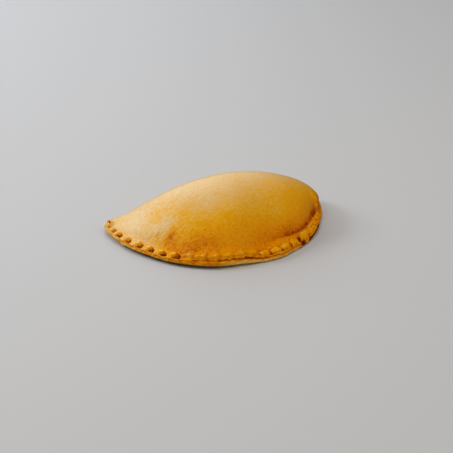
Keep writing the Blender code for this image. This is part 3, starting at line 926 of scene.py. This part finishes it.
def edge_browning_and_highlights(angle, wall):
    """Browning of the cut edge, paler at the left tip, with painted highlights along both sheets' corners at
    the left.
    """
    lip = EDGE_BROWNING + 0.05 * between(42, 64, 6, angle) - 0.08 * between(72, 84, 5, angle)
    lip = lip - 0.20 * (1.0 - smooth(12, 24, angle))
    # painted highlights along the rounded corners of both sheets
    corners = 0.16 * hump(wall, 0.86, 0.08) + 0.22 * hump(wall, 0.46, 0.06)
    return lip + EDGE_GRAIN * edge_grain(angle, wall) - corners * (1.0 - smooth(46, 72, angle))


def browning_and_painted_light(x, y, z, wall, dent_browning_and_shade, crest):
    """How far each place is baked, 0 pale dough to 1 dark brown, with painted shade and highlights added."""
    angle, depth = rim_place(x, y)
    level = dome_browning_and_painted_light(x, y, z, angle, depth)
    on_rim = (1.0 - smooth(5.0, 7.5, depth)) * (wall > WALL_ENDS) * (1.0 - smooth(-6.0, -2.0, y))
    level = crimp_browning_and_highlights(level, on_rim, angle, depth, crest)
    on_edge = (wall >= 0.0) * (wall < WALL_ENDS) * (1.0 - smooth(-6.0, -0.5, y))
    level = level + on_edge * (edge_browning_and_highlights(angle, wall) - level)
    level = np.where(wall < STILL_BENEATH, EDGE_BROWNING + 0.14 * edge_grain(angle, wall), level)
    level += KNOB_BROWNING * spot(x, y, KNOB_PLACE, 2.2) * (wall > WALL_ENDS)
    level += SCORCH_BROWNING * scorched_corner(angle, wall)
    # browning and painted shade in dents, notches, grooves, pits, the tear and the seam
    level += (DENT_BROWNING_AND_SHADE + BEAD_DENT_BROWNING_AND_SHADE * (1.0 - smooth(52, 64, angle))) * dent_browning_and_shade
    return np.clip(level, 0.0, 1.0)


def scorched_corner(angle, wall):
    """The scorched cut edge just right of the tear, 0 to 1."""
    return between(124.8, 127.8, 0.5, angle) * between(0.35, 1.2, 0.12, wall)


def burning_and_shadow(x, y, wall):
    """Burnt places: the outer edge right of the tear, the pit at the left tip and a few specks, and a
    painted shadow along the rim's underside edge at the left and the front.
    """
    angle, depth = rim_place(x, y)
    ragged = 0.5 * lattice_noise(along_rim(angle), wall * 4.0, 1.8, SEED + 80)
    off_middle = np.abs(wall - 0.40 + 0.04 * ragged)
    reach = 0.08 + 0.05 * hump(angle, 134.0, 2.4)
    edge = between(131.0, 146.5, 0.8, angle) * (wall < WALL_ENDS)
    edge = edge * (1.0 - smooth(reach, reach + 0.10, off_middle)) * np.clip(1.0 + ragged, 0.0, 1.0)
    burnt_and_shadow = BURNT_HOLE * spot(x, y, HOLE_PLACE, 0.95)
    for speck_angle, speck_depth, size in BURNT_SPECKS:
        turn = math.radians(speck_angle)
        radius = rim_radius(speck_angle) - speck_depth
        place = (-radius * math.cos(turn), -radius * math.sin(turn))
        burnt_and_shadow = np.maximum(burnt_and_shadow, BURNT_SPECK * spot(x, y, place, size))
    # painted shadow: the rim's underside edge at the left and the front is made near black, as the gap under
    # it lies in shade
    shadow_under_edge = PAINTED_SHADOW_UNDER_EDGE * between(18, 76, 6, angle) * (1.0 - smooth(0.27, 0.36, wall))
    burnt_and_shadow = np.maximum(burnt_and_shadow, shadow_under_edge * (wall > 0.0) * (y < 0))
    _, gash = tear_and_flap(angle, depth)
    torn = np.maximum(gash * (wall > 0.4), 0.5 * scorched_corner(angle, wall))
    burnt_and_shadow = np.maximum(burnt_and_shadow, BURNT_TEAR * torn * (y < -5))
    return np.clip(np.maximum(edge, burnt_and_shadow), 0.0, 1.0)


def pale_dough(x, y, wall):
    """Unbrowned dough: the lower edge of the rim at the front right, and the flake near the left tip."""
    angle, _ = rim_place(x, y)
    height = 0.50 - 0.05 * smooth(100, 112, angle)
    front = between(80, 123, 4, angle) * (1.0 - smooth(height - 0.06, height + 0.06, wall))
    hanging = 0.9 * flake(angle) * (1.0 - smooth(0.30, 0.50, wall))
    return np.where(wall < WALL_ENDS, np.maximum(front * smooth(0.02, 0.16, wall), hanging), 0.0)


# ---- mesh ----


def build_crust():
    """The skin as one closed mesh in the frame, with its marks as attributes."""
    rings = skin_rings()
    columns = len(rings[0])
    x, y = np.array([PEAK_X]), np.array([PEAK_Y])
    top = front_height(x, y) + swelling(x, y) + skin_relief(x, y)
    lowest = [[PEAK_X, PEAK_Y, 0.0, 0.0, 0.0, UNDERSIDE]]
    highest = [[PEAK_X, PEAK_Y, top[0], 0.0, 0.0, ON_TOP]]
    skin = np.concatenate([lowest, *rings, highest])
    points = skin[:, :3]
    dent_browning_and_shade, crest, wall = skin[:, 3:].T
    centre = 0.5 * (points.min(0) + points.max(0))
    faces = []
    for column in range(columns):
        beside = (column + 1) % columns
        faces.append((0, 1 + beside, 1 + column))
        for ring in range(len(rings) - 1):
            low = 1 + ring * columns
            high = low + columns
            faces.append((low + column, low + beside, high + beside, high + column))
        last = 1 + (len(rings) - 1) * columns
        faces.append((last + column, last + beside, len(points) - 1))
    mesh = bpy.data.meshes.new("crust")
    moved = (points - [centre[0], centre[1], 0.0]) * MM
    mesh.from_pydata(moved.tolist(), [], faces)
    mesh.shade_smooth()
    x, y, z = points.T
    burnt_and_shadow = burning_and_shadow(x, y, wall)
    marks = {
        "browning_and_painted_light": np.clip(browning_and_painted_light(x, y, z, wall, dent_browning_and_shade, crest) + 0.7 * burnt_and_shadow, 0.0, 1.0),
        "brushed": 1.0 - smooth(-50.0, 10.0, x),
        "glossy": np.clip(0.6 * crest, 0.0, 1.4),
        "burning_and_shadow": smooth(0.45, 0.95, burnt_and_shadow),
        "pale": pale_dough(x, y, wall),
    }
    for name, values in marks.items():
        attribute = mesh.attributes.new(name, "FLOAT", "POINT")
        attribute.data.foreach_set("value", np.asarray(values, np.float32))
    crust = bpy.data.objects.new("crust", mesh)
    bpy.context.scene.collection.objects.link(crust)
    return crust, centre


# ---- material ----


def add(tree, kind, place, **values):
    """A node at a place in the tree, with its inputs set by name."""
    node = tree.nodes.new(kind)
    node.location = place
    for name, value in values.items():
        node.inputs[name].default_value = value
    return node


def mark(tree, name, place):
    """Reads one of the mesh's marks."""
    node = add(tree, "ShaderNodeAttribute", place)
    node.attribute_name = name
    return node.outputs["Fac"]


def calculate(tree, place, operation, first, second):
    """A math node; either side is a socket or a number."""
    node = add(tree, "ShaderNodeMath", place)
    node.operation = operation
    for socket, value in zip(node.inputs, (first, second)):
        if isinstance(value, (int, float)):
            socket.default_value = value
        else:
            tree.links.new(value, socket)
    return node.outputs[0]


def blend_colour(tree, place, share, first, second):
    """Mixes two colours; each is a socket or a colour."""
    node = tree.nodes.new("ShaderNodeMix")
    node.location = place
    node.data_type = "RGBA"
    tree.links.new(share, node.inputs["Factor"])
    for socket, value in ((node.inputs[6], first), (node.inputs[7], second)):
        if isinstance(value, tuple):
            socket.default_value = value
        else:
            tree.links.new(value, socket)
    return node.outputs[2]


# the crust's colour at each level of browning
BAKED_COLOURS = (
    (0.00, (0.80, 0.60, 0.34)),
    (0.22, (0.78, 0.49, 0.17)),
    (0.34, (0.83, 0.45, 0.060)),
    (0.44, (0.83, 0.40, 0.004)),
    (0.60, (0.81, 0.30, 0.0)),
    (0.72, (0.70, 0.20, 0.0)),
    (0.86, (0.42, 0.08, 0.0)),
    (1.00, (0.17, 0.020, 0.0)),
)
PALE_COLOUR = (0.96, 0.62, 0.12, 1.0)
BURNT_AND_SHADOW_COLOUR = (0.028, 0.003, 0.001, 1.0)
CRUST_IOR = 1.45
CRUST_SPECULAR = 0.42
CRUST_SPECULAR_TINT = (1.0, 0.76, 0.38, 1.0)
# how much each pattern changes the browning
MOTTLE_BROWNING = 0.50
CLOUD_BROWNING = 0.12
STROKE_BROWNING = 0.75
BRUSH_SLANT = -30.0
BRUSH_SCALE = (240.0, 1100.0, 500.0)
LEAST_ROUGHNESS = 0.26
CLOUD_ROUGHNESS = 0.16
BURNT_ROUGHNESS = 0.45
CREST_POLISH = 0.19
PORE_RELIEF = 0.5
BUMP_STRENGTH = 0.36
BUMP_DISTANCE = 0.0006


def noise_pattern(tree, place, vector, scale, detail, roughness):
    """A noise texture over the given coordinates."""
    node = add(tree, "ShaderNodeTexNoise", place, Scale=scale, Detail=detail, Roughness=roughness)
    tree.links.new(vector, node.inputs["Vector"])
    return node.outputs["Fac"]


def crust_material():
    """Baked dough under a thin egg wash: browned by place, with painted shade and highlights, mottled,
    brushed and finely pored.
    """
    material = bpy.data.materials.new("baked_crust")
    material.use_nodes = True
    tree = material.node_tree
    tree.nodes.clear()
    output = add(tree, "ShaderNodeOutputMaterial", (1400, 0))
    shader = add(tree, "ShaderNodeBsdfPrincipled", (1100, 0))
    shader.inputs["IOR"].default_value = CRUST_IOR
    shader.inputs["Specular IOR Level"].default_value = CRUST_SPECULAR
    shader.inputs["Specular Tint"].default_value = CRUST_SPECULAR_TINT
    tree.links.new(shader.outputs[0], output.inputs[0])

    coordinates = add(tree, "ShaderNodeTexCoord", (-1600, 0)).outputs["Object"]
    slant = add(tree, "ShaderNodeMapping", (-1400, -300), Scale=BRUSH_SCALE)
    slant.inputs["Rotation"].default_value = (0.0, 0.0, math.radians(BRUSH_SLANT))
    tree.links.new(coordinates, slant.inputs["Vector"])
    mottle = noise_pattern(tree, (-1200, 300), coordinates, 600.0, 4.0, 0.62)
    clouds = noise_pattern(tree, (-1200, 0), coordinates, 70.0, 3.0, 0.5)
    strokes = noise_pattern(tree, (-1200, -300), slant.outputs[0], 1.0, 2.0, 0.5)
    pores = noise_pattern(tree, (-1200, -600), coordinates, 1500.0, 3.0, 0.6)

    level = mark(tree, "browning_and_painted_light", (-900, 500))
    brushed = mark(tree, "brushed", (-800, -450))
    patterns = (
        (mottle, MOTTLE_BROWNING, 300),
        (clouds, CLOUD_BROWNING, 0),
        (strokes, STROKE_BROWNING, -300),
    )
    for pattern, amount, row in patterns:
        centred = calculate(tree, (-900, row), "SUBTRACT", pattern, 0.5)
        change = calculate(tree, (-700, row), "MULTIPLY", centred, amount)
        if pattern is strokes:
            change = calculate(tree, (-600, row), "MULTIPLY", change, brushed)
        level = calculate(tree, (-500, row), "ADD", level, change)

    ramp = add(tree, "ShaderNodeValToRGB", (-250, 300))
    tree.links.new(level, ramp.inputs["Fac"])
    stops = ramp.color_ramp.elements
    while len(stops) < len(BAKED_COLOURS):
        stops.new(0.5)
    for stop, (position, colour) in zip(stops, BAKED_COLOURS):
        stop.position = position
        stop.color = (*colour, 1.0)
    colour = blend_colour(tree, (150, 300), mark(tree, "pale", (-100, 0)), ramp.outputs[0], PALE_COLOUR)
    # near black for the burnt places and for the painted shadow under the rim's edge
    colour = blend_colour(tree, (400, 300), mark(tree, "burning_and_shadow", (150, 0)), colour, BURNT_AND_SHADOW_COLOUR)
    tree.links.new(colour, shader.inputs["Base Color"])

    satin = calculate(tree, (400, -200), "MULTIPLY", clouds, CLOUD_ROUGHNESS)
    burnt_and_shadow = mark(tree, "burning_and_shadow", (150, -350))
    charred = calculate(tree, (400, -350), "MULTIPLY", burnt_and_shadow, BURNT_ROUGHNESS)
    rough = calculate(tree, (600, -200), "ADD", satin, LEAST_ROUGHNESS)
    rough = calculate(tree, (750, -200), "ADD", rough, charred)
    polish = calculate(tree, (600, -350), "MULTIPLY", mark(tree, "glossy", (400, -600)), CREST_POLISH)
    rough = calculate(tree, (900, -200), "SUBTRACT", rough, polish)
    tree.links.new(rough, shader.inputs["Roughness"])

    grain = calculate(tree, (400, -500), "MULTIPLY", pores, PORE_RELIEF)
    grain = calculate(tree, (600, -500), "ADD", grain, mottle)
    grain = calculate(tree, (750, -500), "ADD", grain, strokes)
    bump = add(tree, "ShaderNodeBump", (900, -500), Strength=BUMP_STRENGTH, Distance=BUMP_DISTANCE)
    tree.links.new(grain, bump.inputs["Height"])
    tree.links.new(bump.outputs[0], shader.inputs["Normal"])
    return material


# ---- stage ----


FLOOR_SIZE = 12.0
FLOOR_DROP = 0.0002
FLOOR_COLOUR = (0.54, 0.555, 0.59, 1.0)
FLOOR_ROUGHNESS = 0.6
FLOOR_SPECULAR = 0.2
LIGHT_TARGET = Vector((0.0, 0.0, 0.01))
WARM = (1.0, 0.86, 0.66)
ROOM_COLOUR = (1.0, 0.97, 0.93, 1.0)
ROOM_STRENGTH = 0.15


def floor():
    """A plain pale table top."""
    bpy.ops.mesh.primitive_plane_add(size=FLOOR_SIZE, location=(0.0, 0.0, -FLOOR_DROP))
    plane = bpy.context.object
    plane.name = "floor"
    material = bpy.data.materials.new("floor")
    material.use_nodes = True
    shader = material.node_tree.nodes["Principled BSDF"]
    shader.inputs["Base Color"].default_value = FLOOR_COLOUR
    shader.inputs["Roughness"].default_value = FLOOR_ROUGHNESS
    shader.inputs["Specular IOR Level"].default_value = FLOOR_SPECULAR
    plane.data.materials.append(material)
    plane.visible_glossy = False


def softbox(name, place, size, power, colour, mirrored=False):
    """An area light that faces the turnover; only a mirrored one shows as gloss."""
    light = bpy.data.lights.new(name, "AREA")
    light.shape = "RECTANGLE"
    light.size, light.size_y = size
    light.energy = power
    light.color = colour
    lamp = bpy.data.objects.new(name, light)
    bpy.context.scene.collection.objects.link(lamp)
    lamp.location = place
    lamp.rotation_euler = (LIGHT_TARGET - lamp.location).to_track_quat("-Z", "Y").to_euler()
    lamp.visible_glossy = mirrored


def lights():
    """Soft daylight from behind and the left, with warm fills from the front and the right."""
    softbox("window", (-0.95, 0.55, 0.70), (0.50, 0.40), 6.8, (1.0, 0.99, 0.97), mirrored=True)
    softbox("overhead", (0.0, 0.0, 1.2), (0.7, 0.7), 4.2, (1.0, 0.97, 0.92))
    softbox("left_fill", (-0.80, -0.36, 0.95), (0.5, 0.4), 1.1, (1.0, 0.93, 0.82))
    softbox("front_fill", (-0.40, -0.85, 1.00), (1.0, 0.8), 1.2, WARM)
    softbox("right_fill", (0.80, -0.45, 0.95), (0.8, 0.8), 3.6, WARM)
    softbox("backlight", (-0.20, 1.0, 0.55), (1.2, 0.5), 4.6, (0.93, 0.97, 1.0), mirrored=True)
    softbox("low_front", (0.85, -0.9, 0.20), (0.5, 0.2), 0.7, (1.0, 0.72, 0.34))
    world = bpy.data.worlds.new("room")
    world.use_nodes = True
    background = world.node_tree.nodes["Background"]
    background.inputs["Color"].default_value = ROOM_COLOUR
    background.inputs["Strength"].default_value = ROOM_STRENGTH
    bpy.context.scene.world = world
    world.cycles_visibility.glossy = False
    bpy.context.scene.view_settings.view_transform = "Standard"


def place_camera(arc_centre):
    """The photograph's camera: it aims at a point a little beside and below the rim's arc centre."""
    turn = math.radians(CAMERA_AZIMUTH)
    tilt = math.radians(CAMERA_ELEVATION)
    back = Vector((math.sin(turn) * math.cos(tilt), -math.cos(turn) * math.cos(tilt), math.sin(tilt)))
    right = Vector((math.cos(turn), math.sin(turn), 0.0))
    up = back.cross(right)
    seen_from = Vector((arc_centre[0], arc_centre[1], AIM_HEIGHT))
    stand = seen_from + CAMERA_DISTANCE * back
    aim = seen_from + AIM_RIGHT * right + AIM_UP * up
    data = bpy.data.cameras.new("camera")
    data.lens = CAMERA_LENS
    data.clip_start = CAMERA_NEAREST
    camera = bpy.data.objects.new("camera", data)
    bpy.context.scene.collection.objects.link(camera)
    camera.location = stand * MM
    camera.rotation_euler = (aim - stand).to_track_quat("-Z", "Y").to_euler()
    bpy.context.scene.camera = camera


crust, crust_centre = build_crust()
crust.data.materials.append(crust_material())
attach(crust, "root")
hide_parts(NODE)
floor()
lights()
place_camera(-crust_centre)
